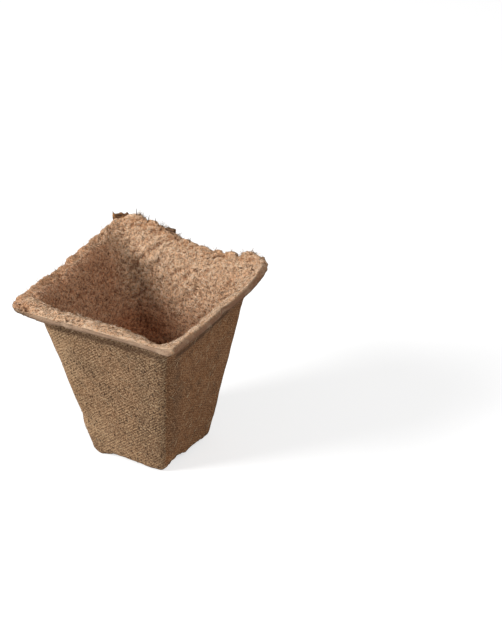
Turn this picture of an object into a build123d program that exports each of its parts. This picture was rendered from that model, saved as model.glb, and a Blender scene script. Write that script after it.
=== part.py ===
from build123d import *
import os
from math import cos, hypot, radians, sin, sqrt

os.makedirs("parts", exist_ok=True)

# A square plant pot moulded from peat and wood fibre. It stands on four corner feet
# with its mouth up. The origin is on the ground below the centre of the mouth.
# The rim is warped: the lip lies folded flat on the front and left, and opens like a
# funnel on the right and back, where one corner stands up.

# The moulded walls and floor, in millimetres. The walls are straight up to
# collar_depth below the mouth, and ease from there into the warped lip.
base_width = 37.4
mouth_width = 66.0
mouth_height = 72.4
base_corner_radius = 5.4
mouth_corner_radius = 6.4
wall = 2.6
floor_thickness = 2.6
inner_base_radius = 4.2
inner_mouth_radius = 6.4
base_edge_radius = 2.6
foot_width = 7.0
front_arch_rise = 1.6
side_arch_rise = 2.8
collar_depth = 14.0

# The lip
lip_reach = 6.6
lip_rise = 5.0
rim_corner_radius = 4.4
lip_thickness = 3.2
corner_stand = 9.0
root_swing = 4.2
fold_leg = 5.6
fold_corner_radius = 6.6
fold_swell = 1.6
crease_leg = 1.2
funnel_leg = 7.0

# Tears in the lip's edge
tear_overrun = 4.0
tear_reach = 16.0

# Loose stems, a bark flake and a curled shaving caught in the torn rim
stem_diameter = 0.4
stem_sides = 6
stem_grip = 2.2
flake_length = 7.0
flake_height = 4.6
flake_thickness = 0.9
flake_rise = 2.6
flake_inset = 2.4
flake_shift = 0.8
flake_turn = 28
shaving_radius = 1.3
shaving_thickness = 0.45
shaving_width = 4.0
shaving_rise = 1.1
shaving_curl = 290

# How the rim is warped, side by side: front, right, back and left, each seen from
# outside and read from left to right, with the corner that follows it last. An edge
# share lifts the lip's edge by that share of corner_stand. A root share raises the
# line where the lip leaves the wall by that share of root_swing: at 1 the lip is
# folded flat over the wall, and at -1 it opens like a funnel. A swell share thickens
# the fold inside by that share of fold_swell, or thins it where it is below zero. A
# depth share is the lip's thickness there as a share of lip_thickness.
front, right, back, left = range(4)
edge_shares = (
    (-0.05, -0.15, -0.10, -0.05, -0.03, 0.02, 0.12, 0.16),
    (0.18, 0.14, 0.10, 0.13, 0.10, 0.11, 0.40, 0.50),
    (0.45, 0.18, 0.06, 0.30, 0.60, 0.92, 0.70, 0.62),
    (0.56, 0.34, 0.24, 0.12, 0.12, 0.14, 0.00, -0.02),
)
root_shares = (
    (0.65, 0.25, 0.30, 0.30, 0.30, 0.05, -0.90, -0.90),
    (-0.90, -1.25, -1.30, -1.20, -1.10, -1.00, -0.90, -0.90),
    (-0.90, -0.70, -0.70, -0.70, -0.70, -0.60, -0.40, -0.40),
    (-0.40, 0.45, 0.70, 0.45, -0.35, 0.10, 0.65, 0.65),
)
swell_shares = (
    (0.30, 0.30, 0.30, 0.30, 0.30, 0.30, 0.30, 0.20),
    (0.00, 0.00, 0.00, 0.00, 0.00, 0.00, 0.00, 0.00),
    (0.00, 0.00, 0.00, 0.00, 0.00, 0.00, 0.00, 0.00),
    (0.00, 0.00, 0.00, -0.10, -0.40, -0.50, -0.30, 0.00),
)
depth_shares = (
    (0.88, 0.86, 0.86, 0.80, 0.68, 0.78, 1.00, 1.06),
    (1.04, 1.00, 1.00, 1.00, 1.00, 1.00, 1.00, 1.00),
    (1.00, 1.00, 1.00, 1.00, 1.00, 1.00, 1.00, 1.00),
    (1.00, 1.00, 1.00, 0.95, 0.90, 0.88, 0.88, 0.88),
)

# How round the lip and the fold are at the front, right, back and left corner, as
# shares of rim_corner_radius and fold_corner_radius
corner_shares = (0.60, 2.40, 0.80, 0.90)
fold_corner_shares = (1.00, 1.00, 1.00, 0.55)

# Tears: side, share along the side, then width and depth as shares of lip_thickness
tear_shares = (
    (front, 0.31, 1.1, 0.25),
    (right, 0.55, 1.3, 0.30),
    (back, 0.10, 0.8, 1.20),
    (back, 0.52, 1.2, 0.35),
    (back, 0.80, 1.0, 0.40),
    (left, 0.28, 1.2, 0.35),
    (left, 0.52, 1.3, 0.40),
    (left, 0.82, 1.1, 0.30),
)

# Stems: side, share along it, length as a share of rim_width, lean outward and lean
# along the side, both in degrees
stem_shares = (
    (back, 0.15, 0.018, 20, 10),
    (back, 0.27, 0.024, 12, -15),
    (back, 0.46, 0.022, 10, 5),
    (back, 0.68, 0.034, 25, -28),
    (back, 0.73, 0.030, 15, 12),
    (back, 0.79, 0.026, 25, -8),
    (back, 0.88, 0.044, 8, 6),
    (left, 0.62, 0.018, 35, 20),
)

rim_width = mouth_width + 2 * lip_reach
rim_height = mouth_height + lip_rise
draft = (mouth_width - base_width) / 2 / mouth_height
collar_height = mouth_height - collar_depth
stations = len(edge_shares[front]) - 1


def outer_half(z):
    """Half the outside width of the walls at a height."""
    return base_width / 2 + draft * z


def inner_half(z):
    """Half the inside width of the walls at a height."""
    return outer_half(z) - wall * sqrt(1 + draft**2)


def bend(start, corner, end, share):
    """A point on the curve that leaves start and arrives at end towards corner."""
    return tuple(
        (1 - share) ** 2 * a + 2 * share * (1 - share) * b + share**2 * c
        for a, b, c in zip(start, corner, end)
    )


def rim_section(edge_share, root_share, swell_share, depth_share):
    """The rim's profile at one station: (half width, height), outside to inside."""
    depth = depth_share * lip_thickness
    root_height = rim_height + root_share * root_swing
    swell = swell_share * fold_swell
    root = (inner_half(root_height) - swell, root_height)
    tip = (rim_width / 2, rim_height + edge_share * corner_stand)
    length = hypot(tip[0] - root[0], tip[1] - root[1])
    out, up = (tip[0] - root[0]) / length, (tip[1] - root[1]) / length
    edge = (tip[0] - up * depth / 2, tip[1])
    under = (edge[0] + up * depth, edge[1] - out * depth)
    back = (under[0] - outer_half(under[1])) / (out - draft * up)
    crease = (under[0] - back * out, under[1] - back * up)
    leg = crease_leg + (1 - root_share) / 2 * (funnel_leg - crease_leg)
    below = (outer_half(crease[1] - leg), crease[1] - leg)
    beyond = (crease[0] + leg * out, crease[1] + leg * up)
    fold_end = (root[0] + fold_leg * out, root[1] + fold_leg * up)
    fold_start = (root[0] - draft * fold_leg, root_height - fold_leg)
    return (
        below,
        bend(below, crease, beyond, 1 / 2),
        beyond,
        under,
        edge,
        fold_end,
        bend(fold_start, root, fold_end, 2 / 3),
        bend(fold_start, root, fold_end, 1 / 3),
        fold_start,
    )


def at_side(side, out, along, height):
    """A point given by its side, its distance out and along, and its height."""
    turn = radians(90 * side)
    return Vector(
        out * sin(turn) + along * cos(turn), along * sin(turn) - out * cos(turn), height
    )


def ring(profile, radii):
    """A closed loop round the pot. profile[side] holds its stations, then its corner."""
    with BuildLine() as loop:
        for side in range(4):
            here, radius = profile[side], radii[side]
            last = profile[side - 1][-1][0] - radii[side - 1]
            corner = here[-1][0] - radius
            points = []
            for i, (half, height) in enumerate(here[:-1]):
                along = -last + (last + corner) * i / (stations - 1)
                points.append(at_side(side, half, along, height))
            following = profile[(side + 1) % 4][0]
            middle = corner + radius / sqrt(2)
            end = at_side(side + 1, following[0], -corner, following[1])
            if len(set(here[:-1])) == 1:
                Line(points[0], points[-1])
            else:
                Spline(*points)
            ThreePointArc(points[-1], at_side(side, middle, middle, here[-1][1]), end)
    return loop.wires()[0]


def flat_ring(half, height, radius):
    """A level loop: four straight sides and four round corners."""
    return ring([[(half, height)] * (stations + 1)] * 4, [radius] * 4)


def foot_ring(share):
    """A level loop on the rounded edge between the base and the walls."""
    half, height = bend(
        (base_width / 2 - base_edge_radius, 0),
        (base_width / 2, 0),
        (outer_half(base_edge_radius), base_edge_radius),
        share,
    )
    return flat_ring(half, height, base_corner_radius - outer_half(height) + half)


sections = [
    [rim_section(*shares) for shares in zip(*side)]
    for side in zip(edge_shares, root_shares, swell_shares, depth_shares)
]
lip_corner_radii = [share * rim_corner_radius for share in corner_shares]
fold_radii = [share * fold_corner_radius for share in fold_corner_shares]
rim_radii = (
    *3 * [4 * [mouth_corner_radius]],
    *2 * [lip_corner_radii],
    *2 * [fold_radii],
    *2 * [4 * [inner_mouth_radius]],
)
foot_rings = [foot_ring(share) for share in (0, 1 / 3, 2 / 3, 1)]
rim_rings = [
    ring([[station[k] for station in side] for side in sections], radii)
    for k, radii in enumerate(rim_radii)
]


def rim_edge(side, share):
    """The lip's edge at a share of a side: distance out, along and height."""
    place = share * (stations - 1)
    i = min(int(place), stations - 2)
    lift = edge_shares[side][i] + (place - i) * (
        edge_shares[side][i + 1] - edge_shares[side][i]
    )
    start = lip_corner_radii[side - 1] - rim_width / 2
    end = rim_width / 2 - lip_corner_radii[side]
    return rim_width / 2, start + share * (end - start), rim_height + lift * corner_stand


def edge_plane(side, share, lean_out, lean_along, grip):
    """A plane at the torn edge, sunk by grip, with its Z along what stands there."""
    out, along, height = rim_edge(side, share)
    a, b = radians(lean_out), radians(lean_along)
    across, drift, rise = sin(a), cos(a) * sin(b), cos(a) * cos(b)
    origin = at_side(
        side,
        out - lip_thickness / 2 - grip * across,
        along - grip * drift,
        height - grip * rise,
    )
    return Plane(
        origin=origin, x_dir=at_side(side, 0, 1, 0), z_dir=at_side(side, across, drift, rise)
    )


# The back corner stands up. The flake of bark lies across its tip.
tip_out = rim_width / 2 - flake_inset
tip_height = rim_height + edge_shares[back][-1] * corner_stand
flake_plane = Plane(
    origin=at_side(back, tip_out, tip_out, tip_height + flake_rise - flake_height),
    x_dir=(cos(radians(flake_turn)), sin(radians(flake_turn)), 0),
    z_dir=(0, 0, 1),
)

# Stems of peat and wood, each standing in the torn edge
with BuildPart() as rim_stems:
    for side, share, length_share, lean_out, lean_along in stem_shares:
        with BuildSketch(edge_plane(side, share, lean_out, lean_along, stem_grip)):
            RegularPolygon(stem_diameter / 2, stem_sides)
        extrude(amount=stem_grip + length_share * rim_width)
rim_stems.part.label = "rim_stems"

# A flake of bark that stands across the tip of the back corner
with BuildPart() as bark_flake:
    with BuildSketch(flake_plane):
        with Locations((flake_shift, 0)):
            Rectangle(flake_length, flake_thickness)
    extrude(amount=flake_height)
bark_flake.part.label = "bark_flake"

# A shaving that curls over the back edge, open at the side where it springs back
shaving_share = 0.62
shaving_out, shaving_along, shaving_height = rim_edge(back, shaving_share)
shaving_plane = Plane(
    origin=at_side(back, shaving_out - shaving_radius, shaving_along, shaving_height),
    x_dir=at_side(back, 1, 0, 0),
    z_dir=at_side(back, 0, -1, 0),
)
with BuildPart() as curled_shaving:
    with BuildSketch(shaving_plane):
        with BuildLine():
            CenterArc(
                (0, shaving_rise - shaving_radius),
                shaving_radius - shaving_thickness / 2,
                -shaving_curl / 2,
                shaving_curl,
            )
            offset(amount=shaving_thickness / 2, kind=Kind.ARC)
        make_face()
    extrude(amount=shaving_width / 2, both=True)
curled_shaving.part.label = "curled_shaving"

# The floor is a groin vault: two arches cross on its underside, the one seen from
# the sides being higher, and leave the pot standing on its corners. The same vault,
# one floor thickness higher, is its inside.
arch_half_span = base_width / 2 - foot_width
arches = []
for plane, rise in ((Plane.XZ, front_arch_rise), (Plane.YZ, side_arch_rise)):
    radius = (arch_half_span**2 + rise**2) / 2 / rise
    arches.append((plane, radius, (0, rise - radius)))

with BuildPart() as vault:
    for plane, radius, centre in arches:
        with BuildSketch(plane):
            with Locations(centre):
                Circle(radius)
        extrude(amount=base_width, both=True)

with BuildPart() as floor_crown:
    for plane, radius, centre in arches:
        with BuildSketch(plane):
            with Locations(centre):
                Circle(radius + floor_thickness)
        extrude(amount=base_width / 2, both=True)
    with BuildSketch(Plane.XY.offset(floor_thickness / 2)):
        crown_width = 2 * inner_half(floor_thickness) + wall
        RectangleRounded(crown_width, crown_width, inner_base_radius)
    extrude(amount=floor_thickness + side_arch_rise, mode=Mode.INTERSECT)

# The pot: one skin from the base, up the walls, over the lip and down to the floor
with BuildPart() as pot_body:
    add(
        Solid.make_loft(
            [
                *foot_rings,
                flat_ring(outer_half(collar_height), collar_height, mouth_corner_radius),
                *rim_rings,
                flat_ring(inner_half(collar_height), collar_height, inner_mouth_radius),
                flat_ring(inner_half(floor_thickness), floor_thickness, inner_base_radius),
            ],
            ruled=True,
        )
    )
    add(floor_crown.part)
    add(vault.part, mode=Mode.SUBTRACT)
    for side, share, width_share, depth_share in tear_shares:
        out, along, height = rim_edge(side, share)
        depth = depth_share * lip_thickness
        spread = width_share * lip_thickness / 2 * (depth + tear_overrun) / depth
        with BuildSketch(Plane.XY.offset(height - tear_reach / 2)):
            with BuildLine():
                Polyline(
                    at_side(side, out - depth, along, 0),
                    at_side(side, out + tear_overrun, along - spread, 0),
                    at_side(side, out + tear_overrun, along + spread, 0),
                    close=True,
                )
            make_face()
        extrude(amount=tear_reach, mode=Mode.SUBTRACT)
    # Each stem, the flake and the shaving sit in a socket of their own shape
    for caught in (rim_stems, bark_flake, curled_shaving):
        add(caught.part, mode=Mode.SUBTRACT)
pot_body.part.label = "pot_body"

for piece in (pot_body, rim_stems, bark_flake, curled_shaving):
    export_step(piece.part, f"parts/{piece.part.label}.step")
    print(piece.part.label, round(piece.part.volume, 1), "mm3")
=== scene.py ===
# %% [markdown]
# Peat pots are sucked onto a wire screen from a pulp of peat and wood fibre, and dried.
# The side that lay on the screen keeps its weave. The other side stays felted, like
# thick wet wool, and the lip is torn where the sheet was cut from the next pot.
# The solid model gives the true shape in metres. This script dresses it: the pulp gets
# its lumps, tears, weave and loose fibres, and each caught piece gets its own finish.

# %% Load the solid model
from math import pi, radians
import bpy
import numpy as np
from mathutils import Euler, Matrix, Vector


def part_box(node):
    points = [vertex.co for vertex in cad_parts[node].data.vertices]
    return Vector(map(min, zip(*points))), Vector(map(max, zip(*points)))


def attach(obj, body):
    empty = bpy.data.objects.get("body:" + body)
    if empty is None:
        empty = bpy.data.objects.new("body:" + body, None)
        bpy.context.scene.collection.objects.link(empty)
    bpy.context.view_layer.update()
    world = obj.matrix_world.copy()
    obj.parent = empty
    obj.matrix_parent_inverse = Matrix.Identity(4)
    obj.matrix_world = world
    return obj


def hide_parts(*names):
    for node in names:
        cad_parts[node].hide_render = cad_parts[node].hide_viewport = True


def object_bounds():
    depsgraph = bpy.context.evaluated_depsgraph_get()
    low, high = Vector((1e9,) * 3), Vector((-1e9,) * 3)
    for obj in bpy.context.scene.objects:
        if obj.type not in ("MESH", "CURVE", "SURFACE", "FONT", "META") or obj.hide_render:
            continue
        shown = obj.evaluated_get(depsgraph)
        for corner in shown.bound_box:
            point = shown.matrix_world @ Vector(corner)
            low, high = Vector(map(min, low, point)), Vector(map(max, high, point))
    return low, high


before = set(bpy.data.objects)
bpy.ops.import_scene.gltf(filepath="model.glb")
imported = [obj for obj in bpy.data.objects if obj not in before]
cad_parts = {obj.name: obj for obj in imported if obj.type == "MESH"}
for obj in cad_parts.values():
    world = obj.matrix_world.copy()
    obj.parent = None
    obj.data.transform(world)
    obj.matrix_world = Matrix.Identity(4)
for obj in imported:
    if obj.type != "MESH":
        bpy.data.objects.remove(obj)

cad_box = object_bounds()
scene = bpy.context.scene
print("Solid model's box:", cad_box)

# %% [markdown]
# The camera comes first, because everything is judged through it. It stands where the
# photographer stood: 32 degrees to the right of the front wall, 31 degrees up, rolled by
# two degrees, and 0.83 m away with a long lens. The corners and edges of the pot in
# the photograph gave these values.

# %% Place the camera
camera_azimuth = radians(31.97)
camera_elevation = radians(30.71)
camera_roll = radians(-1.89)
camera_distance = 0.8319
camera_aim = Vector((0.0384, 0.0212, 0.060))
camera_lens = 112.15
sensor_side = 36
nearest_seen = 0.01

camera_data = bpy.data.cameras.new("camera")
camera_data.lens = camera_lens
camera_data.sensor_width = sensor_side
camera_data.clip_start = nearest_seen
camera = bpy.data.objects.new("camera", camera_data)
camera_turn = Euler((pi / 2 - camera_elevation, 0, camera_azimuth)).to_matrix()
camera_turn = camera_turn @ Matrix.Rotation(camera_roll, 3, "Z")
camera_back = camera_turn @ Vector((0, 0, 1))
camera.matrix_world = Matrix.Translation(camera_aim + camera_distance * camera_back) @ camera_turn.to_4x4()
scene.collection.objects.link(camera)
bpy.context.scene.camera = camera
scene.view_settings.view_transform = "Standard"
print("Camera at", [round(part, 4) for part in camera.matrix_world.translation])

# %% [markdown]
# A material is a small net of nodes. One helper adds a node with its settings and
# inputs, so that each finish below reads as a list of what it is made of. Colours are
# written as a painter would pick them on a screen, and turned into the linear light
# values that the renderer counts in.

# %% Helpers for nodes and colours
def linear(colour):
    """A screen colour such as "8b6d54" as linear red, green, blue and alpha."""
    parts = [int(colour[i:i + 2], 16) / 255 for i in (0, 2, 4)]
    return (*[((part + 0.055) / 1.055) ** 2.4 if part > 0.04045 else part / 12.92 for part in parts], 1)


def fill(tree, node, inputs):
    """Gives each input a value, or a link from a socket of another node."""
    for name, value in inputs.items():
        if isinstance(value, bpy.types.NodeSocket):
            tree.links.new(value, node.inputs[name])
        else:
            node.inputs[name].default_value = value


def add(tree, kind, inputs=None, **settings):
    """A new node of a kind, with its settings and inputs."""
    node = tree.nodes.new("ShaderNode" + kind)
    for name, value in settings.items():
        setattr(node, name, value)
    fill(tree, node, inputs or {})
    return node


def new_material(name):
    """An empty material and its output node."""
    material = bpy.data.materials.new(name)
    material.use_nodes = True
    material.node_tree.nodes.clear()
    return material, add(material.node_tree, "OutputMaterial")


print("White is", linear("ffffff"))

# %% [markdown]
# Every pattern is built from a few steps: clouds of a chosen size, grain that runs one
# way, a soft threshold that turns clouds into patches, and colours laid over another
# where such patches are. Inputs that share a name are filled by their number.

# %% Helpers for patterns and layers of colour
def blend_colour(tree, share, first, second, mode="MIX"):
    """Two colours mixed by a share."""
    return add(tree, "Mix", {0: share, 6: first, 7: second}, data_type="RGBA", blend_type=mode).outputs[2]


def sums(tree, operation, first, second=0.0, third=0.0):
    """One step of arithmetic between values or sockets."""
    return add(tree, "Math", {0: first, 1: second, 2: third}, operation=operation).outputs[0]


def between(tree, value, low, high):
    """0 at low, 1 at high and a soft step between. Low may be the larger."""
    limits = {"Value": value, "From Min": low, "From Max": high}
    return add(tree, "MapRange", limits, interpolation_type="SMOOTHSTEP").outputs["Result"]


def noise(tree, place, size, detail=2.0, rough=0.5, twist=0.0):
    """Cloudy noise with lumps of the given size in metres."""
    inputs = {"Vector": place, "Scale": 1 / size, "Detail": detail, "Roughness": rough, "Distortion": twist}
    return add(tree, "TexNoise", inputs).outputs["Fac"]


def stretched(tree, place, turn=(0, 0, 0), scale=(1, 1, 1)):
    """The same coordinates turned and then stretched, for grain that has a direction."""
    turned = add(tree, "Mapping", {"Vector": place, "Rotation": [radians(angle) for angle in turn]})
    return add(tree, "Mapping", {"Vector": turned.outputs[0], "Scale": scale}).outputs[0]


def layered(tree, colour, layers):
    """Lays tones over a colour, each where its mask is, by the share at most."""
    for mask, share, tone in layers:
        colour = blend_colour(tree, sums(tree, "MULTIPLY", mask, share), colour, linear(tone))
    return colour


def matt_skin(tree, end, colour, height, rough, gloss):
    """A surface with a colour and small bumps, whose height is in metres."""
    bump = add(tree, "Bump", {"Height": height, "Strength": 1.0, "Distance": 1.0})
    inputs = {"Base Color": colour, "Roughness": rough, "Specular IOR Level": gloss}
    inputs["Normal"] = bump.outputs[0]
    fill(tree, end, {"Surface": add(tree, "BsdfPrincipled", inputs).outputs[0]})


print("Pattern helpers are ready")

# %% [markdown]
# The studio is a white sheet with one tall softbox at the front left, so that the near
# walls are lit flat and the left wall shades the inside. A weak lamp at the right and a
# dim white room fill the shadows. The camera sees floor and room as pure white.

# %% Light the studio
room_light = 0.33
room_white = 1.0
lamp_distance = 1.3

# Turn from the front and rise in degrees, width and height in metres, and watts
lamp_facts = {
    "key_softbox": (318, 31, 0.44, 0.60, 18.6),
    "fill_lamp": (75, 46, 0.60, 0.60, 5.2),
}

world = bpy.data.worlds.new("studio_room")
scene.world = world
world.use_nodes = True
tree = world.node_tree
tree.nodes.clear()
rays = add(tree, "LightPath")
seen = sums(tree, "MAXIMUM", rays.outputs["Is Camera Ray"], rays.outputs["Is Glossy Ray"])
seen = sums(tree, "MAXIMUM", seen, rays.outputs["Is Transmission Ray"])
strength = sums(tree, "MULTIPLY_ADD", seen, room_white - room_light, room_light)
room = add(tree, "Background", {"Color": linear("ffffff"), "Strength": strength})
add(tree, "OutputWorld", {"Surface": room.outputs[0]})

for lamp_name, (turn, rise, width, height, watts) in lamp_facts.items():
    lamp_data = bpy.data.lights.new(lamp_name, "AREA")
    lamp_data.shape = "RECTANGLE"
    lamp_data.size = width
    lamp_data.size_y = height
    lamp_data.energy = watts
    lamp = bpy.data.objects.new(lamp_name, lamp_data)
    towards = Euler((radians(-rise), 0, radians(turn))).to_matrix() @ Vector((0, -1, 0))
    lamp.location = towards * lamp_distance
    lamp.rotation_euler = towards.to_track_quat("Z", "Y").to_euler()
    scene.collection.objects.link(lamp)
    print("Lamp", lamp_name, "at", [round(part, 2) for part in lamp.location])

# %% [markdown]
# The sheet is matt white paper: a plain diffuse surface without gloss, so that it
# mirrors nothing. The camera sees it lifted to pure white. For the pot itself it is a
# duller white, or its light would wash out the underside.

# %% Lay the paper sheet
floor_reach = 2.5
floor_albedo = 0.52
floor_lift = 0.62

paper, paper_end = new_material("white_paper_sheet")
tree = paper.node_tree
rays = add(tree, "LightPath")
sheet = add(tree, "BsdfDiffuse", {"Color": (floor_albedo, floor_albedo, floor_albedo, 1)})
glow = add(tree, "Emission", {"Color": linear("ffffff"), "Strength": floor_lift})
both = add(tree, "AddShader", {0: sheet.outputs[0], 1: glow.outputs[0]})
pick = add(tree, "MixShader", {0: rays.outputs["Is Camera Ray"], 1: sheet.outputs[0], 2: both.outputs[0]})
fill(tree, paper_end, {"Surface": pick.outputs[0]})

bpy.ops.object.select_all(action="DESELECT")
bpy.ops.mesh.primitive_plane_add(size=2 * floor_reach)
floor = bpy.context.object
floor.name = "studio_floor"
floor.data.materials.append(paper)
print("Paper sheet is", 2 * floor_reach, "m wide")

# %% [markdown]
# Everything that isn't the flat paper starts from a copy of a solid. A solid comes in
# as loose triangles, so the copy's doubles are merged. Then it is cast again on a fine
# even grid: the Remesh modifier in voxel mode gives small square faces all over, which
# every later push needs.

# %% Helpers for casting a piece
merge_distance = 1e-6


def select_only(piece):
    """Nothing else stays selected, because an operator acts on all that is."""
    bpy.ops.object.select_all(action="DESELECT")
    piece.select_set(True)
    bpy.context.view_layer.objects.active = piece


def finish_with(piece, kind, **settings):
    """Adds a modifier and applies it."""
    select_only(piece)
    modifier = piece.modifiers.new(kind.lower(), kind)
    for name, value in settings.items():
        setattr(modifier, name, value)
    bpy.ops.object.modifier_apply(modifier=modifier.name)


def copy_of_solid(node, name):
    """A merged copy of a solid that can be shaped."""
    select_only(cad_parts[node])
    bpy.ops.object.duplicate()
    piece = bpy.context.object
    piece.name = name
    piece.data.name = name
    piece.parent = None
    for key_name in list(piece.keys()):
        del piece[key_name]
    piece.data.materials.clear()
    bpy.ops.object.mode_set(mode="EDIT")
    bpy.ops.mesh.select_all(action="SELECT")
    bpy.ops.mesh.remove_doubles(threshold=merge_distance)
    bpy.ops.object.mode_set(mode="OBJECT")
    return piece


def cast(node, name, voxel):
    """A copy of a solid, cast again on an even grid."""
    piece = copy_of_solid(node, name)
    finish_with(piece, "REMESH", mode="VOXEL", voxel_size=voxel, use_smooth_shade=True)
    return piece


def read(rows, name, width=1, kind=float):
    """One property of a mesh's vertices, edges or faces, as an array."""
    values = np.empty(width * len(rows), kind)
    rows.foreach_get(name, values)
    return values.reshape(-1, width) if width > 1 else values


def points_of(piece):
    """Places and normals of a piece's vertices."""
    return read(piece.data.vertices, "co", 3), read(piece.data.vertex_normals, "vector", 3)


def move_points(piece, places):
    """Puts a piece's vertices at new places."""
    piece.data.vertices.foreach_set("co", places.astype(np.float32).ravel())
    piece.data.update()


def step(value, low, high):
    """0 at low, 1 at high and a soft step between, for arrays."""
    share = np.clip((value - low) / (high - low), 0, 1)
    return share * share * (3 - 2 * share)


print("Casting helpers are ready")

# %% [markdown]
# The pulp is one moulding: floor, walls and lip. It is cast on a grid of 0.7 mm, and a
# little smoothing takes away the grid's steps.

# %% Cast the pulp
pulp_voxel = 0.00070
grid_smoothing = 0.5
grid_rounds = 2
pulp = cast("pot_body", "moulded_pulp", pulp_voxel)
finish_with(pulp, "SMOOTH", factor=grid_smoothing, iterations=grid_rounds)
print("Pulp cast with", len(pulp.data.polygons), "faces")

# %% [markdown]
# Some marks are this pot's own: pits and slits in the lip, folds of felt inside, a worn place and a thicker
# heel at the foot, dark stains that are partly painted shade under the lip and beside the front corner,
# painted shadow lines where the lip overhangs the walls, and two places painted paler. Each is made of short
# lines with a radius.

# %% List the marks of this pot
# In each row a line's start, its end and its radius, in millimetres
pit_facts = (
    ((-38.4, -37.0, 77.7), (-31.0, -38.8, 76.9), 0.75),
    ((-35.4, -38.9, 77.2), (-30.2, -40.2, 76.2), 0.60),
    ((-35.7, -32.9, 78.6), (-34.9, -32.2, 78.6), 0.85),
    ((-32.6, -34.6, 78.6), (-32.0, -34.2, 78.6), 0.65),
    ((-12.0, -38.2, 77.2), (-11.2, -37.9, 77.2), 1.15),
    ((-7.8, -36.4, 77.4), (-7.6, -36.2, 77.4), 0.80),
    ((-18.4, -35.4, 77.3), (-18.0, -35.2, 77.3), 0.70),
    ((9.0, -36.2, 77.2), (10.4, -36.4, 77.2), 0.80),
    ((-27.3, 9.9, 57.4), (-27.3, 11.3, 56.8), 0.95),
    ((9.4, 34.8, 75.9), (15.4, 36.9, 77.4), 0.75),
    ((26.0, 33.8, 76.1), (31.6, 34.3, 78.0), 0.55),
    ((31.6, 34.3, 78.0), (34.6, 30.6, 77.2), 0.60),
)
ripple_facts = (
    ((-22.0, 28.0, 60.0), (-14.0, 32.0, 76.0), 14.0),
    ((0.0, 29.0, 62.0), (8.0, 33.0, 75.0), 10.0),
)
worn_facts = (((20.2, -13.6, 0.4), (20.2, -9.4, 1.0), 6.0),)
heel_facts = (((-17.6, -17.6, 3.0), (-18.4, -18.4, 12.0), 9.0),)
# Dark places: the first two are painted shade under the front lip, the third is a darker patch, and the last
# four are painted shade on both sides of the front corner
stain_and_shade_facts = (
    ((-19.0, -31.0, 68.0), (24.0, -31.5, 69.0), 7.0),
    ((12.0, -31.6, 66.0), (25.0, -31.8, 68.0), 9.0),
    ((-16.0, -29.0, 55.0), (-12.0, -28.7, 50.0), 8.0),
    ((20.0, -30.4, 60.0), (13.5, -22.0, 9.0), 8.0),
    ((16.0, -24.0, 30.0), (12.9, -21.5, 10.0), 8.0),
    ((30.5, -26.0, 62.0), (26.3, -20.5, 38.0), 7.0),
    ((26.3, -20.5, 38.0), (22.7, -17.1, 14.0), 7.0),
)
# Painted shadow: lines where the lip overhangs the walls, darkened in the colour
lip_shadow_facts = (
    ((-27.0, -30.9, 67.4), (27.0, -31.9, 68.6), 2.4),
    ((32.2, -25.0, 66.8), (32.8, 12.0, 67.6), 2.8),
)
pale_patch_facts = (
    ((-13.5, -22.2, 18.0), (-7.0, -20.0, 5.0), 9.0),
    ((-22.0, -30.5, 62.0), (-20.0, -28.5, 46.0), 8.0),
)
print(len(pit_facts), "pits and", len(stain_and_shade_facts), "stains are listed")

# %% [markdown]
# A mark is full within a quarter of its radius and fades towards the rest. A small wave
# shakes the places first, so that no pit is neat. The grid is too coarse for the pits,
# so its faces near them are divided once more.

# %% Divide the pulp finely near the pits
per_metre = 1000
core_parts = 4
fine_reach = 0.0016
wobble_height = 0.0004
wobble_length = 0.0029


def near_spots(places, facts, reach=0.0):
    """1 near each line of the facts, falling to 0 at its radius plus the reach."""
    values = np.zeros(len(places))
    places = places + wobble_height * np.sin(2 * pi * places[:, [1, 2, 0]] / wobble_length)
    for start, end, radius in facts:
        run = (np.array(end) - np.array(start)) / per_metre
        start = np.array(start) / per_metre
        along = np.clip((places - start) @ run / (run @ run), 0, 1)
        gap = np.linalg.norm(places - start - along[:, None] * run, axis=1)
        radius = radius / per_metre
        values = np.maximum(values, step(gap, radius + reach, radius / core_parts))
    return values


close_by = near_spots(points_of(pulp)[0], pit_facts, fine_reach) > 0
select_only(pulp)
bpy.ops.object.mode_set(mode="EDIT")
bpy.ops.mesh.select_mode(type="FACE")
bpy.ops.mesh.select_all(action="DESELECT")
bpy.ops.object.mode_set(mode="OBJECT")
for face in pulp.data.polygons:
    face.select = any(close_by[i] for i in face.vertices)
bpy.ops.object.mode_set(mode="EDIT")
bpy.ops.mesh.subdivide(number_cuts=1)
bpy.ops.object.mode_set(mode="OBJECT")
print("Pulp now has", len(pulp.data.polygons), "faces")

# %% [markdown]
# The pulp isn't the same all over. Its zones are painted once, by place and by the way
# each point faces, and serve both shape and colour. A zone is stored as an attribute
# for the material and as a vertex group for the modifiers. A group takes its points in
# fifty levels, because one call per point is slow.

# %% Helpers for painting zones
group_levels = 50


def paint_zone(piece, name, values):
    """Stores one value a vertex, as an attribute and as a vertex group."""
    values = np.clip(values, 0, 1).astype(np.float32)
    layer = piece.data.attributes.new(name, "FLOAT", "POINT")
    layer.data.foreach_set("value", values)
    group = piece.vertex_groups.new(name=name)
    steps = np.round(values * group_levels).astype(int)
    for level in np.unique(steps[steps > 0]):
        group.add(np.nonzero(steps == level)[0].tolist(), float(level / group_levels), "REPLACE")
    print("Zone", name, "covers", round(100 * float(values.mean()), 1), "% of", piece.name)


def zone_of(piece, name):
    """Reads a painted zone back, one value a vertex."""
    return read(piece.data.attributes[name].data, "value")


place, facing = points_of(pulp)
x, y, z = place.T
half = np.maximum(np.abs(x), np.abs(y))
outward = np.where(np.abs(x) >= np.abs(y), np.sign(x) * facing[:, 0], np.sign(y) * facing[:, 1])

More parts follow.
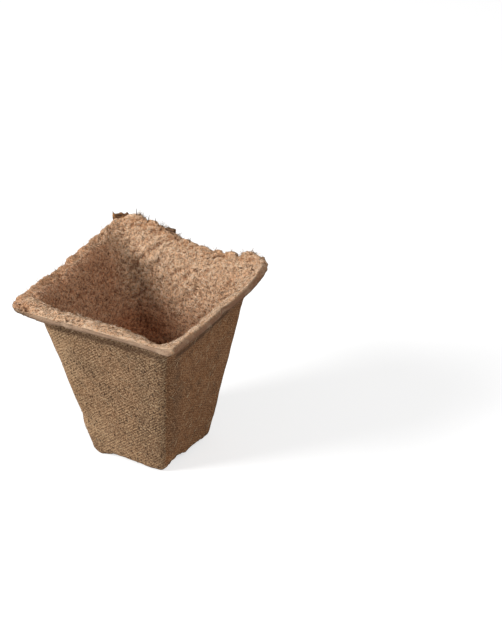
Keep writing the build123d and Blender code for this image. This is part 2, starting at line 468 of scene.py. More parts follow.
# %% [markdown]
# First the zones that the mould made. The felted side is what faces up or inwards. The
# lip lies beyond the mouth, with a smooth outer band at the front and right. Its edge is
# torn, most of all at the back, then at the left, and least at the tips and the right.
# Near the flake the pulp is calm, so that the flake shows.

# %% Paint the lip and the torn edge
mouth_half = 0.033
mouth_height = 0.0724
lip_half = 0.0396
lip_height = 0.0774

# Where each zone begins and where it is full, in metres
rim_range = (mouth_height - 0.005, mouth_height - 0.001)
lip_range = (mouth_half + 0.0012, mouth_half + 0.0036)
back_edge_range = (lip_half - 0.0060, lip_half - 0.0025)
left_edge_range = (lip_half - 0.0062, lip_half - 0.0030)
left_tip_range = (2 * lip_half - 0.018, 2 * lip_half - 0.008)
right_tip_range = (2 * lip_half - 0.014, 2 * lip_half - 0.006)
right_edge_range = (lip_half - 0.0030, lip_half - 0.0010)
right_top_range = (lip_height - 0.0012, lip_height)
near_edge_range = (lip_half - 0.004, lip_half - 0.002)
calm_range = (0.0030, 0.0006)

high = step(z, *rim_range)
felted = step(0.8 * facing[:, 2] - 0.6 * outward, -0.25, 0.25)
lip = step(half, *lip_range) * high
left_tip = step(-x - y, *left_tip_range)
torn = np.maximum.reduce([
    step(y, *back_edge_range),
    0.8 * step(-x, *left_edge_range) * (1 - 0.6 * left_tip),
    0.45 * left_tip,
    0.6 * step(x + y, *right_tip_range),
    0.45 * step(x, *right_edge_range) * step(z, *right_top_range),
])
flake_low, flake_high = [np.array(corner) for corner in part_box("bark_flake")]
flake_gap = np.linalg.norm(np.maximum(np.maximum(flake_low - place, place - flake_high), 0), axis=1)
calm = 1 - step(flake_gap, *calm_range)
torn *= lip * np.maximum(felted, step(outward, 0.3, 0.7)) * calm
near_edge = np.maximum(step(-y, *near_edge_range), step(x, *near_edge_range))
band = step(outward, 0.50, 0.85) * near_edge * high * (1 - 0.7 * torn)
paint_zone(pulp, "felted", felted)
paint_zone(pulp, "torn", torn)
paint_zone(pulp, "band", band)

# %% [markdown]
# Then the zones that only the shape or only the colour needs. Front and back walls are told from the side
# walls. Painted shade darkens the lip's underside. Deep in the pot and on the inside of the left wall the
# felt is painted darker and redder, as painted shade. The marks of this pot are zones too.

# %% Paint the walls, the inside and the marks
overhang_range = (mouth_half + 0.0005, mouth_half + 0.0030)
felt_floor_range = (0.004, 0.010)
screen_floor_range = (0.003, 0.010)
foot_range = (0.0070, 0.0015)
left_wall_range = (0.010, 0.014)
left_mouth_range = (-0.0030, -0.0010)
left_lip_range = (0.026, 0.034)
left_end_range = (0.030, 0.016)
crest_side_range = (0.0362, 0.0346)
crest_height_range = (0.070, 0.074)
crest_end_range = (0.020, 0.010)
deep_range = (0.062, 0.040)
deep_side_range = (-0.014, 0.006)

# Painted shade: the underside of the lip is darkened, and so are the lines under it
under = step(-facing[:, 2], 0.10, 0.45) * step(half, *overhang_range) * high * (1 - felted)
left_wall = step(facing[:, 0], 0.35, 0.65) * step(-x, *left_wall_range)
left_wall *= step(mouth_half + x, *left_mouth_range)
left_lip = 0.6 * lip * step(-x, *left_lip_range)
left_side = 0.60 * step(y, *left_end_range) * np.maximum(left_wall, left_lip)
left_crest = step(-x, *crest_side_range) * step(-x, *left_wall_range) * step(facing[:, 0], 0.1, 0.4)
left_crest *= step(z, *crest_height_range) * step(y, *crest_end_range)
# Painted shade: darker and redder deep in the pot and on the inside of the left wall
deep = step(z, *deep_range) * (1 - 0.5 * step(x, *deep_side_range))
pulp_zones = {
    "under": np.maximum(under, near_spots(place, lip_shadow_facts) * (1 - felted)),
    "front_or_back": np.where(np.abs(facing[:, 1]) > np.abs(facing[:, 0]), 1.0, 0.0),
    "felt_shape": felted * (1 - band) * step(z, *felt_floor_range) * (1 - 0.45 * lip) * calm,
    "lip_shape": lip * felted * (1 - 0.6 * torn) * calm,
    "screen_shape": (1 - felted) * step(z, *screen_floor_range) * (1 - lip),
    "foot_shape": step(z, *foot_range) * (1 - felted),
    "painted_inner_shade": felted * np.maximum.reduce([deep, left_side, 0.6 * left_crest]),
    "pits": near_spots(place, pit_facts),
    "ripples": near_spots(place, ripple_facts) * felted,
    "worn": near_spots(place, worn_facts) * (facing[:, 0] > 0),
    "heel": near_spots(place, heel_facts) * (1 - felted),
    "dark_stain_and_shade": near_spots(place, stain_and_shade_facts),
    "pale_patch": near_spots(place, pale_patch_facts),
}
for zone_name, zone_values in pulp_zones.items():
    paint_zone(pulp, zone_name, zone_values)

# %% [markdown]
# The lumps are real shape, because they show against the light and along the lip's
# outline. Each comes from a cloud texture that pushes the surface along its normals:
# folds up the back wall, big and small lumps on the felt, a slow wave on the screen
# side, and a coarse and a fine tear along the edge. Worn place, heel and pits are
# pressed by one depth. The feet stay flat where they stand.

# %% Push the pulp in and out
grain_stretch = 3.5
fold_run = (0.61, 0.0, 0.79)
worn_depth = -0.0021
heel_height = 0.0010
pit_depth = -0.0008

# Zone, size of the lumps, height of the push, number of finer layers, and run of any grain
push_facts = (
    ("ripples", 0.0034, 0.0024, 1, fold_run),
    ("felt_shape", 0.0085, 0.0014, 1),
    ("felt_shape", 0.0034, 0.0010, 2),
    ("felt_shape", 0.0014, 0.0009, 1),
    ("screen_shape", 0.0140, 0.0010, 1),
    ("lip_shape", 0.0050, 0.0020, 2),
    ("foot_shape", 0.0055, 0.0015, 2),
    ("torn", 0.0042, 0.0022, 2),
    ("torn", 0.0016, 0.0018, 1),
)


def push(piece, zone, lump_size, height, layers, grain=None):
    """Displaces a zone by clouds whose lumps have the given size and height."""
    guide = bpy.data.objects.new("grain_guide", None)
    scene.collection.objects.link(guide)
    if grain:
        guide.rotation_euler = Vector(grain).to_track_quat("Z", "Y").to_euler()
        guide.scale = (1, 1, grain_stretch)
    bpy.context.view_layer.update()
    clouds = bpy.data.textures.new("clouds_" + zone, "CLOUDS")
    clouds.noise_basis = "ORIGINAL_PERLIN"
    clouds.noise_scale = lump_size
    clouds.noise_depth = layers
    settings = {"texture": clouds, "texture_coords": "OBJECT", "texture_coords_object": guide}
    finish_with(piece, "DISPLACE", strength=height, mid_level=0.5, vertex_group=zone, **settings)
    bpy.data.textures.remove(clouds)
    bpy.data.objects.remove(guide)


def press(piece, zone, height):
    """Moves a zone in or out by one height, where it is fully painted."""
    finish_with(piece, "DISPLACE", strength=height, mid_level=0.0, vertex_group=zone)


press(pulp, "worn", worn_depth)
press(pulp, "heel", heel_height)
for facts in push_facts:
    push(pulp, *facts)
press(pulp, "pits", pit_depth)
place = points_of(pulp)[0]
place[:, 2] = np.maximum(place[:, 2], 0.0)
move_points(pulp, place)
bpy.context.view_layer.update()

# %% [markdown]
# Hollows get painted shade and crests a painted highlight. The mesh can tell them apart: each point is
# compared with the mean of its surroundings, and how far it is above or below is one more zone, 0.5 where
# the surface is even.

# %% Paint the hollows
hollow_rounds = 6
hollow_reach = 0.0006


def surroundings(piece, places, rounds):
    """The mean place around each vertex, taken over a wider ring with each round."""
    first, second = read(piece.data.edges, "vertices", 2, np.int32).T
    count = np.bincount(first, minlength=len(places)) + np.bincount(second, minlength=len(places))
    for _ in range(rounds):
        total = np.stack([
            np.bincount(first, places[second, axis], len(places))
            + np.bincount(second, places[first, axis], len(places))
            for axis in range(3)
        ], axis=1)
        places = 0.5 * places + 0.5 * total / count[:, None]
    return places


place, facing = points_of(pulp)
above = ((place - surroundings(pulp, place, hollow_rounds)) * facing).sum(axis=1)
paint_zone(pulp, "painted_relief_light", 0.5 + above / hollow_reach)
print("Crests reach", round(per_metre * above.max(), 2), "mm")

# %% [markdown]
# The pulp is fully matt, so nearly all of its look is colour and small bumps. Peat is
# dark and wood fibre is pale, so every patch of a few millimetres has its own mix. The
# patterns read the painted zones and Object coordinates, which stay with the pot.

# %% Start the pulp's finish
pulp_material, pulp_end = new_material("moulded_peat_pulp")
tree = pulp_material.node_tree
spot = add(tree, "TexCoord").outputs["Object"]
zone_names = (
    "felted", "torn", "band", "under", "pits", "painted_relief_light", "painted_inner_shade", "front_or_back", "dark_stain_and_shade", "pale_patch",
)
zones = {name: add(tree, "Attribute", attribute_name=name).outputs["Fac"] for name in zone_names}
axes = add(tree, "SeparateXYZ", {"Vector": spot})
print("The finish reads the zones", *zones)

# %% [markdown]
# The wire screen leaves its weave on the outside: slanted rows 1.1 mm apart, as on the
# real walls, crossed by wider ones, and worn in places. Its rows lean the other way on
# the next wall. Two Wave textures multiplied give knots where rows cross. A Wave
# texture of scale 1 has a wave every tenth of pi, which its scale is worked out from.

# %% Print the screen's weave
row_pitch = 0.00110
cross_pitch = 0.00178
wave_at_scale_one = pi / 10
front_turns = (51.5, -46.5)
side_turns = (-62.0, 35.0)
wire_wobble = {"Distortion": 0.8, "Detail": 1.0, "Detail Scale": 0.25}
worn_patch_size = 0.009


def woven(tree, wall, row_turn, cross_turn):
    """A screen's print on a wall: fine rows, and wider ones that cross them."""
    parts = []
    for turn, pitch in ((row_turn, row_pitch), (cross_turn, cross_pitch)):
        inputs = {"Vector": stretched(tree, wall, (0, 0, turn)), "Scale": wave_at_scale_one / pitch}
        parts.append(add(tree, "TexWave", inputs | wire_wobble).outputs["Fac"])
    crossing = sums(tree, "MULTIPLY", *parts)
    return sums(tree, "MULTIPLY_ADD", crossing, 0.4, sums(tree, "MULTIPLY", parts[0], 0.6))


front_wall = add(tree, "CombineXYZ", {"X": axes.outputs["X"], "Y": axes.outputs["Z"]}).outputs[0]
side_wall = add(tree, "CombineXYZ", {"X": axes.outputs["Y"], "Y": axes.outputs["Z"]}).outputs[0]
front_weave = woven(tree, front_wall, *front_turns)
side_weave = woven(tree, side_wall, *side_turns)
weave = add(tree, "Mix", {0: zones["front_or_back"], 2: side_weave, 3: front_weave}).outputs[0]
printed = between(tree, noise(tree, spot, worn_patch_size, 2), 0.40, 0.60)
printed = sums(tree, "MULTIPLY_ADD", printed, 0.6, 0.4)
weave_mark = sums(tree, "MULTIPLY", between(tree, weave, 0.40, 0.85), printed)
weave_dent = sums(tree, "MULTIPLY", between(tree, weave, 0.40, 0.08), printed)
print("Rows are", per_metre * row_pitch, "mm apart")

# %% [markdown]
# Next the pulp's grain, from wide patches down to grit. Real grit is too fine to show
# in the render, so it is drawn from half a millimetre up. Threads need no drawing one
# by one: where a cloudy noise crosses its middle value it leaves a thin curved line.

# %% Mix the pulp's grain
patch_size = 0.016
blotch_size = 0.0042
stain_size = 0.0075
speckle_size = 0.00062
grit_size = 0.00052
tangle_size = 0.00085
crease_size = 0.0036
fleck_size = 0.0014
thread_stretch = 2.5


def threads(tree, place, size, width, turn):
    """Thin curved lines, where a stretched noise crosses its middle."""
    clouds = noise(tree, stretched(tree, place, turn, (1, 1, 1 / thread_stretch)), size, 1.0, 0.5, 0.3)
    off = sums(tree, "ABSOLUTE", sums(tree, "SUBTRACT", clouds, 0.5))
    return between(tree, off, width, width / 4)


patches = noise(tree, spot, patch_size, 3)
blotches = noise(tree, spot, blotch_size, 3, 0.6)
stains = noise(tree, stretched(tree, spot, (0, 25, 0), (1, 1, 0.7)), stain_size, 3, 0.6)
speckle = noise(tree, spot, speckle_size, 1, 0.5)
grit = noise(tree, stretched(tree, spot, (20, 30, 0), (1, 1, 0.6)), grit_size, 1, 0.5)
tangle = noise(tree, spot, tangle_size, 2, 0.7, 0.4)
fine_threads = threads(tree, spot, 0.0012, 0.022, (15, 35, 0))
crossing_threads = threads(tree, spot, 0.0014, 0.020, (70, -20, 40))
pale_threads = sums(tree, "MAXIMUM", fine_threads, crossing_threads)
dark_threads = threads(tree, spot, 0.0013, 0.020, (-40, 60, 15))
creases = threads(tree, spot, crease_size, 0.024, (0, -38, 0))
creases = sums(tree, "MULTIPLY", creases, between(tree, blotches, 0.42, 0.58))
flat_spot = stretched(tree, spot, (0, 0, 0), (1, 1, 0.55))
bits = add(tree, "TexVoronoi", {"Vector": flat_spot, "Scale": 1 / fleck_size, "Randomness": 1.0})
chosen = add(tree, "SeparateColor", {"Color": bits.outputs["Color"]}).outputs[0]
chosen = between(tree, chosen, 0.55, 0.65)
fleck = sums(tree, "MULTIPLY", between(tree, bits.outputs["Distance"], 0.36, 0.20), chosen)
# Painted shade in hollows and painted highlight on crests
painted_hollow_shade = between(tree, zones["painted_relief_light"], 0.55, 0.20)
painted_relief_light = between(tree, zones["painted_relief_light"], 0.50, 0.85)
print("Grit is", per_metre * grit_size, "mm wide")

# %% [markdown]
# The outside is a grey brown with olive stains, and pale and dark specks on every knot
# of the weave, pin-pricks and flecks of bark. The side walls are smoother and warmer.
# Stains lie beneath the speckles, so that a dark place keeps its texture.

# %% Colour the screen side
def stained(tree, colour):
    """A wall's colour with its stains, partly painted shade under the lip and beside the front corner, and
    paler places.
    """
    return layered(tree, colour, (
        (between(tree, stains, 0.48, 0.32), 0.50, "543e2b"),
        (between(tree, stains, 0.54, 0.72), 0.25, "b08c69"),
        # Painted shade under the lip and beside the front corner, with one darker patch
        (zones["dark_stain_and_shade"], 0.50, "4f3826"),
        (zones["pale_patch"], 0.32, "c2a07c"),
    ))


wide_mix = between(tree, patches, 0.35, 0.65)
front_tone = blend_colour(tree, wide_mix, linear("7d5b40"), linear("8a6648"))
front_tone = layered(tree, front_tone, (
    # Painted light: the front and back walls are lighter towards their left end, nearer the softbox
    (between(tree, axes.outputs["X"], -0.006, -0.026), 0.10, "a98a5c"),
    (between(tree, blotches, 0.52, 0.30), 0.35, "6d5038"),
))
front_tone = layered(tree, stained(tree, front_tone), (
    (weave_mark, 0.50, "bd9a73"),
    (weave_dent, 0.48, "432d1c"),
    (between(tree, speckle, 0.54, 0.62), 0.45, "cba985"),
    (between(tree, speckle, 0.46, 0.38), 0.50, "3f2919"),
    (between(tree, grit, 0.42, 0.34), 0.65, "3a281a"),
    (between(tree, grit, 0.57, 0.66), 0.42, "c9aa82"),
    (pale_threads, 0.18, "c9ad8a"),
    (fleck, 0.75, "2c1d13"),
))
side_tone = blend_colour(tree, wide_mix, linear("805635"), linear("855a37"))
side_tone = layered(tree, stained(tree, side_tone), (
    (weave_mark, 0.38, "aa7f59"),
    (weave_dent, 0.38, "573926"),
    (between(tree, speckle, 0.46, 0.38), 0.60, "4a3020"),
    (between(tree, grit, 0.53, 0.62), 0.50, "c79d76"),
    (fleck, 0.50, "2c1d13"),
))
screen = blend_colour(tree, zones["front_or_back"], side_tone, front_tone)
print("Nodes so far:", len(tree.nodes))

# %% [markdown]
# The felted side is a tangle of pale wood and dark peat fibres, with creases that run across it. Hollows get
# painted shade and crests a painted highlight. Deep in the pot and on the left wall the colour is multiplied
# by a reddish tone, as painted shade, and where the edge is torn it is rustier.

# %% Colour the felted side
inner_shade_share = 0.72
inner_shade_tone = "d29e7d"

felt = blend_colour(tree, between(tree, patches, 0.30, 0.70), linear("deae87"), linear("e6b993"))
felt = layered(tree, felt, (
    (between(tree, blotches, 0.50, 0.72), 0.30, "e8c79f"),
    (between(tree, blotches, 0.46, 0.30), 0.20, "a0724f"),
    (between(tree, tangle, 0.48, 0.36), 0.86, "684428"),
    (pale_threads, 0.80, "f7e0c1"),
    (dark_threads, 0.66, "56361f"),
    (creases, 0.46, "6f4729"),
    (painted_hollow_shade, 0.60, "74452a"),
    (painted_relief_light, 0.45, "efd2b4"),
    (fleck, 0.40, "3a2415"),
))
# Painted shade, multiplied in deep in the pot and on the left wall
inner_shade_mask = sums(tree, "MULTIPLY", zones["painted_inner_shade"], inner_shade_share)
felt = blend_colour(tree, inner_shade_mask, felt, linear(inner_shade_tone), "MULTIPLY")
rust = sums(tree, "MULTIPLY", zones["torn"], between(tree, blotches, 0.35, 0.60))
felt = layered(tree, felt, ((rust, 0.34, "bd7a48"), (zones["torn"], 0.10, "cf9a6c")))
print("Nodes so far:", len(tree.nodes))

# %% [markdown]
# The outer band of the lip is smoother and greyer than the rest. Last, painted shade darkens what lies under
# the lip and in the pits. The weave's print, grit and the felt's tangle are small enough to be bumps of the
# material.

# %% Join the pulp's colours and bumps
weave_relief = 0.00016
grit_relief = 0.00022
tangle_relief = 0.0012
thread_relief = 0.00020
band_calm = 0.6

smooth = blend_colour(tree, zones["front_or_back"], linear("82604a"), linear("967b65"))
smooth = layered(tree, smooth, (
    (between(tree, blotches, 0.45, 0.70), 0.50, "b19880"),
    (between(tree, speckle, 0.46, 0.28), 0.45, "6a4e3a"),
))
colour = blend_colour(tree, zones["felted"], screen, felt)
colour = blend_colour(tree, zones["band"], colour, smooth)
# Painted shade under the lip and in the pits
colour = layered(tree, colour, ((zones["under"], 0.70, "4a3322"), (zones["pits"], 0.55, "4a2e1c")))

grit_height = sums(tree, "MULTIPLY", speckle, grit_relief)
screen_height = sums(tree, "MULTIPLY_ADD", weave_mark, weave_relief, grit_height)
tangle_height = sums(tree, "MULTIPLY_ADD", tangle, tangle_relief, grit_height)
felt_height = sums(tree, "MULTIPLY_ADD", pale_threads, thread_relief, tangle_height)
height = add(tree, "Mix", {0: zones["felted"], 2: screen_height, 3: felt_height}).outputs[0]
height = sums(tree, "MULTIPLY", height, sums(tree, "MULTIPLY_ADD", zones["band"], -band_calm, 1.0))
matt_skin(tree, pulp_end, colour, height, rough=0.95, gloss=0.2)
pulp.data.materials.append(pulp_material)
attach(pulp, "root")
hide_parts("pot_body")
print("Pulp finished with", len(tree.nodes), "nodes")

# %% [markdown]
# Loose fibres lie all over the felt, stand out of the torn edge and are pressed into the
# walls. One strand is modelled: a triangle extruded four times and narrowed towards
# both ends, one unit long for now. It has only 14 faces, because there will be
# thousands of it.

# %% Model one strand
# How far each step rises, and how much wider it gets, as shares
strand_steps = ((0.25, 1.7), (0.25, 1.1), (0.25, 0.85), (0.25, 0.45))
strand_sides = 3
strand_start = 0.5


def model_strand(name, sides, steps, start_width):
    """A thin tapered stalk along Z, one unit long and wide, and its points and faces."""
    bpy.ops.object.select_all(action="DESELECT")
    bpy.ops.mesh.primitive_circle_add(vertices=sides, radius=start_width / 2, fill_type="NGON")
    bpy.ops.object.mode_set(mode="EDIT")
    bpy.ops.mesh.select_mode(type="FACE")
    for rise, widening in steps:
        bpy.ops.mesh.extrude_region_move(TRANSFORM_OT_translate={"value": (0, 0, rise)})
        bpy.ops.transform.resize(value=(widening, widening, 1))
    bpy.ops.mesh.select_all(action="SELECT")
    bpy.ops.mesh.normals_make_consistent(inside=False)
    bpy.ops.object.mode_set(mode="OBJECT")
    model = bpy.context.object
    points = points_of(model)[0]
    faces = [list(face.vertices) for face in model.data.polygons]
    bpy.data.objects.remove(model)
    print("Modelled", name, "with", len(faces), "faces")
    return points, faces


strand = model_strand("strand", strand_sides, strand_steps, strand_start)

# %% [markdown]
# A copy is laid by three directions: along it, up from the surface, and sideways. It
# bends as an arc with a wave on it. All copies of one kind become one piece, and each
# keeps a tone, because no two fibres have the same colour.

# %% Helpers for laying strands
def unit(vectors):
    """Vectors brought to length one."""
    return vectors / np.maximum(np.linalg.norm(vectors, axis=-1, keepdims=True), 1e-12)


def lay_strands(name, model, roots, along, up, lengths, widths, bends, waves, tones, painted_inner_shade=None):
    """One piece made of bent copies of a model, each from its root in its direction."""
    points, faces = model
    side = unit(np.cross(up, along))
    up = np.cross(along, side)
    share = points[:, 2]
    arc = 4 * share * (1 - share)
    wave = np.sin(2 * pi * share)
    sideways = lengths[:, None] * (bends[:, None] * arc + waves[:, None] * wave)
    sideways = sideways + widths[:, None] * points[:, 0]
    upward = widths[:, None] * points[:, 1]
    forward = lengths[:, None] * share
    places = roots[:, None, :] + forward[:, :, None] * along[:, None, :]
    places = places + sideways[:, :, None] * side[:, None, :] + upward[:, :, None] * up[:, None, :]
    mesh = bpy.data.meshes.new(name)
    all_faces = [[i * len(points) + k for k in face] for i in range(len(roots)) for face in faces]
    mesh.from_pydata(places.reshape(-1, 3).tolist(), [], all_faces)
    marks = {"tone": tones, "painted_inner_shade": np.zeros(len(roots)) if painted_inner_shade is None else painted_inner_shade}
    for mark, values in marks.items():
        layer = mesh.attributes.new(mark, "FLOAT", "POINT")
        layer.data.foreach_set("value", np.repeat(values, len(points)).astype(np.float32))
    mesh.shade_smooth()
    piece = bpy.data.objects.new(name, mesh)
    scene.collection.objects.link(piece)
    print("Laid", len(roots), "of", name)
    return piece


print("Strands can be laid")

# %% [markdown]
# Strands are scattered by weight: a face is chosen more often where it is large and its
# zone is strong. Sizes, curves and tones come by chance from a seed, so that they are
# the same each time. A strand that would leave the solid's box by more than the
# overhang is laid shorter.

# %% Helpers for scattering strands
hair_overhang = 0.0004
shortest_strand = 0.0003
least_slope = 0.02
box_low, box_high = [np.array(corner) for corner in cad_box]


def pick_faces(piece, weights, count, dice):
    """Chooses faces of a piece by area and weight: centres, normals and a vertex each."""
    faces = piece.data.polygons
    corners = read(piece.data.loops, "vertex_index", 1, np.int32)
    corners = corners[read(faces, "loop_start", 1, np.int32)]
    chances = read(faces, "area") * weights[corners]
    chosen = dice.choice(len(faces), count, p=chances / chances.sum())
    return read(faces, "center", 3)[chosen], read(faces, "normal", 3)[chosen], corners[chosen]


def flat_directions(normals, dice):
    """A direction along the surface at each normal, all ways round."""
    return unit(np.cross(normals, dice.normal(size=normals.shape)))


def drawn(dice, count, least, most, skew=1):
    """Sizes between the least and the most. With a skew, most of them are small."""
    return least + (most - least) * dice.random(count) ** skew


def curves(dice, count, bend, wave, tone_skew=1):
    """Each strand's bend and wave, as shares of its length, and its tone."""
    bends = bend * dice.normal(size=count)
    waves = wave * dice.normal(size=count)
    return bends, waves, dice.random(count) ** tone_skew


def room_along(centres, along):
    """How far each strand may run before it leaves the solid's box by the overhang."""
    room = np.where(along > 0, box_high - centres, centres - box_low) + hair_overhang
    return (room / np.maximum(np.abs(along), least_slope)).min(axis=1)


print("Strands keep to", cad_box)

# %% [markdown]
# Wood and peat fibres are dry and matt. Each strand's tone sets its colour between a
# dark and a pale one, and a fine grain keeps a bundle of them from looking like wire.
# Fibres lying where the pulp gets painted shade take the same painted shade.

# %% Make the fibres' finish
fibre_grain_size = 0.0004
fibre_relief = 0.00004


def fibre_finish(name, dark, pale):
    """A matt plant fibre whose tone differs from strand to strand."""
    material, end = new_material(name)
    tree = material.node_tree
    tone = add(tree, "Attribute", attribute_name="tone").outputs["Fac"]
    # Painted shade taken from the pulp under the fibre
    painted_inner_shade = add(tree, "Attribute", attribute_name="painted_inner_shade").outputs["Fac"]
    grain = noise(tree, add(tree, "TexCoord").outputs["Object"], fibre_grain_size, 2, 0.6)
    colour = blend_colour(tree, tone, linear(dark), linear(pale))
    colour = blend_colour(tree, painted_inner_shade, colour, linear(inner_shade_tone), "MULTIPLY")
    colour = layered(tree, colour, ((between(tree, grain, 0.50, 0.35), 0.35, dark),))
    matt_skin(tree, end, colour, sums(tree, "MULTIPLY", grain, fibre_relief), rough=0.9, gloss=0.25)
    return material


print("Fibre finish is ready")

# %% [markdown]
# First the fibres that lie flat on the felt: pale ones of wood, dark ones of peat and
# long thin pale ones. They are 0.7 to 6 mm long and partly sunk in the pulp. Real ones
# are finer than 0.05 mm, which the render wouldn't show, so these are thicker.

# %% Lay the felt fibres
# Number, least and most length and width in metres, darkest and palest colour
felt_facts = {
    "pale_felt_fibres": (7600, (0.0009, 0.0034), (0.00014, 0.00028), "b48d68", "f6e0c6"),
    "dark_felt_fibres": (3200, (0.0007, 0.0024), (0.00012, 0.00026), "38200f", "744a2c"),
    "long_felt_fibres": (6000, (0.0020, 0.0060), (0.00009, 0.00017), "9c7450", "f8e4cc"),
}
first_seed = 11
felt_length_skew = 2
felt_lift = 0.10
felt_curve = (0.16, 0.05)
felt_rise_share = 0.2
inside_range = (0.010, 0.030)
lip_end_range = (lip_half - 0.0012, lip_half - 0.0034)

place = points_of(pulp)[0]
inside = zone_of(pulp, "felted") * step(place[:, 2], *inside_range)
inside *= step(np.abs(place[:, :2]).max(axis=1), *lip_end_range)
for seed, (name, facts) in enumerate(felt_facts.items(), first_seed):
    count, length_range, width_range, dark, pale = facts
    dice = np.random.default_rng(seed)
    centres, normals, spots = pick_faces(pulp, inside, count, dice)
    along = unit(flat_directions(normals, dice) + felt_lift * dice.normal(size=normals.shape))
    lengths = drawn(dice, count, *length_range, felt_length_skew)
    room = np.minimum(room_along(centres, along), room_along(centres, -along))
    lengths = np.clip(2 * room, shortest_strand, lengths)
    widths = drawn(dice, count, *width_range)
    piece = lay_strands(
        name,
        strand,
        centres - along * lengths[:, None] / 2 + normals * widths[:, None] * felt_rise_share,
        along,
        normals,
        lengths,
        widths,
        *curves(dice, count, *felt_curve),
        zone_of(pulp, "painted_inner_shade")[spots],
    )
    piece.data.materials.append(fibre_finish(name.replace("_fibres", "_fibre"), dark, pale))
    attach(piece, "root")

# %% [markdown]
# Then the hairs of the torn edge. They stand out of it, mostly away from the pot and
# upwards, and are thickest in tufts near the loose stems at the back.

# %% Stand the rim hairs
# Each tuft's place along the back edge, in millimetres
tuft_places = (
    (-33.0, 39.4), (-26.5, 39.4), (-16.0, 39.0), (-11.5, 38.8), (-7.0, 38.6), (24.0, 38.6), (30.0, 38.8),
)
tuft_width = 0.0028
tuft_weight = 4.0
bare_weight = 0.5
hair_seed = 5
hair_count = 900
hair_scatter = 0.75
hair_lean_up = 0.35
hair_length_range = (0.0006, 0.0028)
hair_length_skew = 2.5
hair_width_range = (0.00008, 0.00018)
hair_root_depth = 0.0001
hair_curve = (0.10, 0.05)
hair_tone_skew = 1.4

place, facing = points_of(pulp)
edge_weight = zone_of(pulp, "torn") * step(facing[:, 2], -0.3, 0.5)
tufted = np.zeros(len(edge_weight))
for tuft_x, tuft_y in tuft_places:
    gap = np.hypot(place[:, 0] - tuft_x / per_metre, place[:, 1] - tuft_y / per_metre)
    tufted = np.maximum(tufted, step(gap, tuft_width, 0))
dice = np.random.default_rng(hair_seed)
hair_weight = edge_weight ** 2 * (bare_weight + tuft_weight * tufted)
centres, normals, _ = pick_faces(pulp, hair_weight, hair_count, dice)
along = unit(unit(normals) + hair_scatter * dice.normal(size=normals.shape) + np.array([0, 0, hair_lean_up]))
lengths = drawn(dice, hair_count, *hair_length_range, hair_length_skew)
lengths = np.clip(room_along(centres, along), shortest_strand, lengths)
hairs = lay_strands(
    "rim_hairs",
    strand,
    centres - normals * hair_root_depth,
    along,
    unit(dice.normal(size=normals.shape)),
    lengths,
    drawn(dice, hair_count, *hair_width_range),
    *curves(dice, hair_count, *hair_curve, hair_tone_skew),
)
hairs.data.materials.append(fibre_finish("torn_edge_fibre", "4a3020", "e0bd94"))
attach(hairs, "root")

# %% [markdown]
# On the screen side fibres are pressed into the wall. They lie nearly flush, so they
# show as thin pale lines.

# %% Press fibres into the walls
pressed_seed = 8
pressed_count = 1500
pressed_length_range = (0.0012, 0.0062)
pressed_length_skew = 3
pressed_width_range = (0.00010, 0.00020)
pressed_rise_share = 0.125
pressed_curve = (0.06, 0.02)
foot_clear_range = (0.002, 0.004)

outside = (1 - zone_of(pulp, "felted")) * (1 - zone_of(pulp, "band"))
outside = outside * step(place[:, 2], *foot_clear_range)
dice = np.random.default_rng(pressed_seed)
centres, normals, _ = pick_faces(pulp, outside, pressed_count, dice)
along = flat_directions(normals, dice)
lengths = drawn(dice, pressed_count, *pressed_length_range, pressed_length_skew)
widths = drawn(dice, pressed_count, *pressed_width_range)
pressed = lay_strands(
    "pressed_fibres",
    strand,
    centres - along * lengths[:, None] / 2 + normals * widths[:, None] * pressed_rise_share,
    along,
    normals,
    lengths,
    widths,
    *curves(dice, pressed_count, *pressed_curve),
)
pressed.data.materials.append(fibre_finish("pressed_fibre", "6b4d34", "dcc3a0"))
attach(pressed, "root")

# %% [markdown]
# The loose stems are dry twigs, under half a millimetre thick, with knots and a kink or
# two. A stouter stalk with six sides is modelled for them. The solid's stems are taken
# apart, and the lowest and highest end of each give its twig's root and tip.

# %% Grow the loose stems
twig_steps = (
    (0.16, 1.00), (0.05, 1.35), (0.04, 0.70), (0.17, 0.95), (0.15, 0.92),
    (0.04, 1.30), (0.04, 0.68), (0.15, 0.85), (0.12, 0.75), (0.08, 0.45),
)
twig_seed = 3
twig_sides = 6
twig_width = 0.00042
twig_share_range = (0.75, 1.15)
twig_curve = (0.05, 0.03)

twig_points, twig_faces = model_strand("twig", twig_sides, twig_steps, 1.0)
twig_points = twig_points * np.array([1, 1, 1 / twig_points[:, 2].max()])
copy_of_solid("rim_stems", "stems_apart")
bpy.ops.object.mode_set(mode="EDIT")
bpy.ops.mesh.select_all(action="SELECT")
bpy.ops.mesh.separate(type="LOOSE")
bpy.ops.object.mode_set(mode="OBJECT")
ends = []
for part in list(bpy.context.selected_objects):
    places = points_of(part)[0]
    middle = places.mean(axis=0)
    axis = np.linalg.svd(places - middle)[2][0]
    axis = axis if axis[2] > 0 else -axis
    reach = (places - middle) @ axis
    ends.append((middle + axis * reach.min(), middle + axis * reach.max()))
    bpy.data.objects.remove(part)
ends = sorted(ends, key=lambda pair: tuple(pair[0]))
roots = np.array([root for root, tip in ends])
runs = np.array([tip - root for root, tip in ends])
count = len(ends)
dice = np.random.default_rng(twig_seed)
stems = lay_strands(
    "dry_stems",
    (twig_points, twig_faces),
    roots,
    unit(runs),
    unit(dice.normal(size=runs.shape)),
    np.linalg.norm(runs, axis=1),
    twig_width * drawn(dice, count, *twig_share_range),
    *curves(dice, count, *twig_curve),
)
stems.data.materials.append(fibre_finish("dry_stem", "35261a", "7b6148"))
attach(stems, "root")
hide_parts("rim_stems")

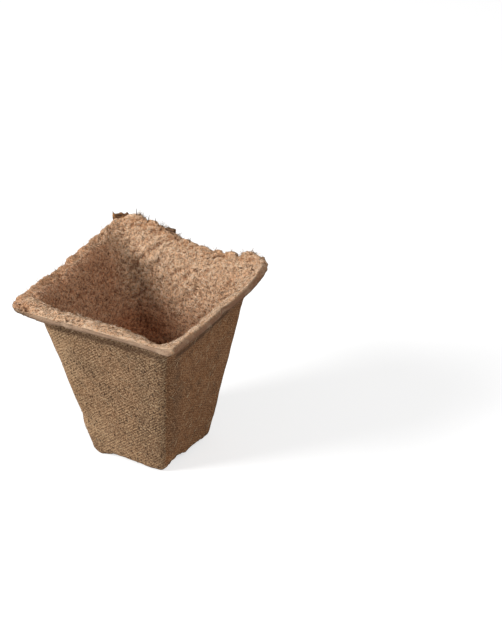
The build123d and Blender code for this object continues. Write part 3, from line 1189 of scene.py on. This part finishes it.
# %% [markdown]
# Bark and the shaving are dark, dry, matt wood. Their grain is a noise stretched along
# it, with streaks 0.7 mm apart, and is brighter where the wood has split.

# %% Make the bark's finish
streak_size = 0.0007
split_size = 0.0018
streak_relief = 0.00035
streak_stretch = (0.25, 1, 1)


def bark_finish(name, deep, mid, bright, grain_turn):
    """Dark matt bark or wood with a grain, brighter where it has split."""
    material, end = new_material(name)
    tree = material.node_tree
    spot = add(tree, "TexCoord").outputs["Object"]
    streaks = noise(tree, stretched(tree, spot, grain_turn, streak_stretch), streak_size, 3, 0.6)
    splits = noise(tree, spot, split_size, 2, 0.6)
    colour = blend_colour(tree, between(tree, streaks, 0.38, 0.62), linear(deep), linear(mid))
    colour = layered(tree, colour, ((between(tree, splits, 0.52, 0.64), 0.8, bright),))
    matt_skin(tree, end, colour, sums(tree, "MULTIPLY", streaks, streak_relief), rough=0.85, gloss=0.3)
    return material


print("Bark finish is ready")

# %% [markdown]
# The flake of bark is torn along the grain. Its copy is cast finely, its top edge is
# drawn down between its horns, and clouds roughen it in two sizes. The pulp still grips
# its foot, so only the part above is shaped.

# %% Tear the bark flake
bark_voxel = 0.00016
bark_smoothing = 0.4
gripped_share = 0.45
loose_range = (0.15, 0.40)

# The top edge's height at places along the grain, both as shares
horn_stations = (-1.0, -0.8, -0.5, 0.0, 0.45, 0.8, 1.0)
horn_heights = (1.00, 0.76, 0.70, 0.84, 0.72, 0.90, 0.66)

bark = cast("bark_flake", "torn_bark_flake", bark_voxel)
place = points_of(bark)[0]
middle = place.mean(axis=0)
grain = np.linalg.svd((place - middle) * np.array([1, 1, 0]), full_matrices=False)[2][0]
grain = grain if grain[0] > 0 else -grain
run = (place - middle) @ grain
run = run / np.abs(run).max()
bottom, top = place[:, 2].min(), place[:, 2].max()
rise = (place[:, 2] - bottom) / (top - bottom)
edge_height = np.interp(run, horn_stations, horn_heights)
above_grip = np.maximum(rise - gripped_share, 0) / (1 - gripped_share)
rise_now = np.minimum(rise, gripped_share) + above_grip * (edge_height - gripped_share)
place[:, 2] = bottom + (top - bottom) * rise_now
move_points(bark, place)
paint_zone(bark, "loose", step(rise, *loose_range))
push(bark, "loose", 0.0016, 0.0009, 2)
push(bark, "loose", 0.0006, 0.0006, 1)
finish_with(bark, "SMOOTH", factor=bark_smoothing, iterations=1)
bark.data.materials.append(bark_finish("dark_bark", "47301f", "7f5c40", "b98655", (0, 0, -28)))
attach(bark, "root")
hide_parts("bark_flake")
print("Bark flake has", len(bark.data.polygons), "faces")

# %% [markdown]
# The shaving is a strip of dark wood that sprang into a curl. It is cast finely too, its
# ends are made ragged by clouds, and its grain runs along the curl's axis.

# %% Curl the shaving
shaving_voxel = 0.00011
middle_share = 0.35
end_range = (0.3, 0.9)

shaving = cast("curled_shaving", "dark_curled_shaving", shaving_voxel)
place = points_of(shaving)[0]
run = (place[:, 0] - place[:, 0].mean()) / np.ptp(place[:, 0]) * 2
paint_zone(shaving, "ends", middle_share + (1 - middle_share) * step(np.abs(run), *end_range))
push(shaving, "ends", 0.0012, 0.0009, 2)
push(shaving, "ends", 0.0005, 0.0004, 1)
shaving.data.materials.append(bark_finish("dark_shaving", "3a281c", "6b4e38", "9a7552", (0, 0, 0)))
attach(shaving, "root")
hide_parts("curled_shaving")
print("Shaving has", len(shaving.data.polygons), "faces")
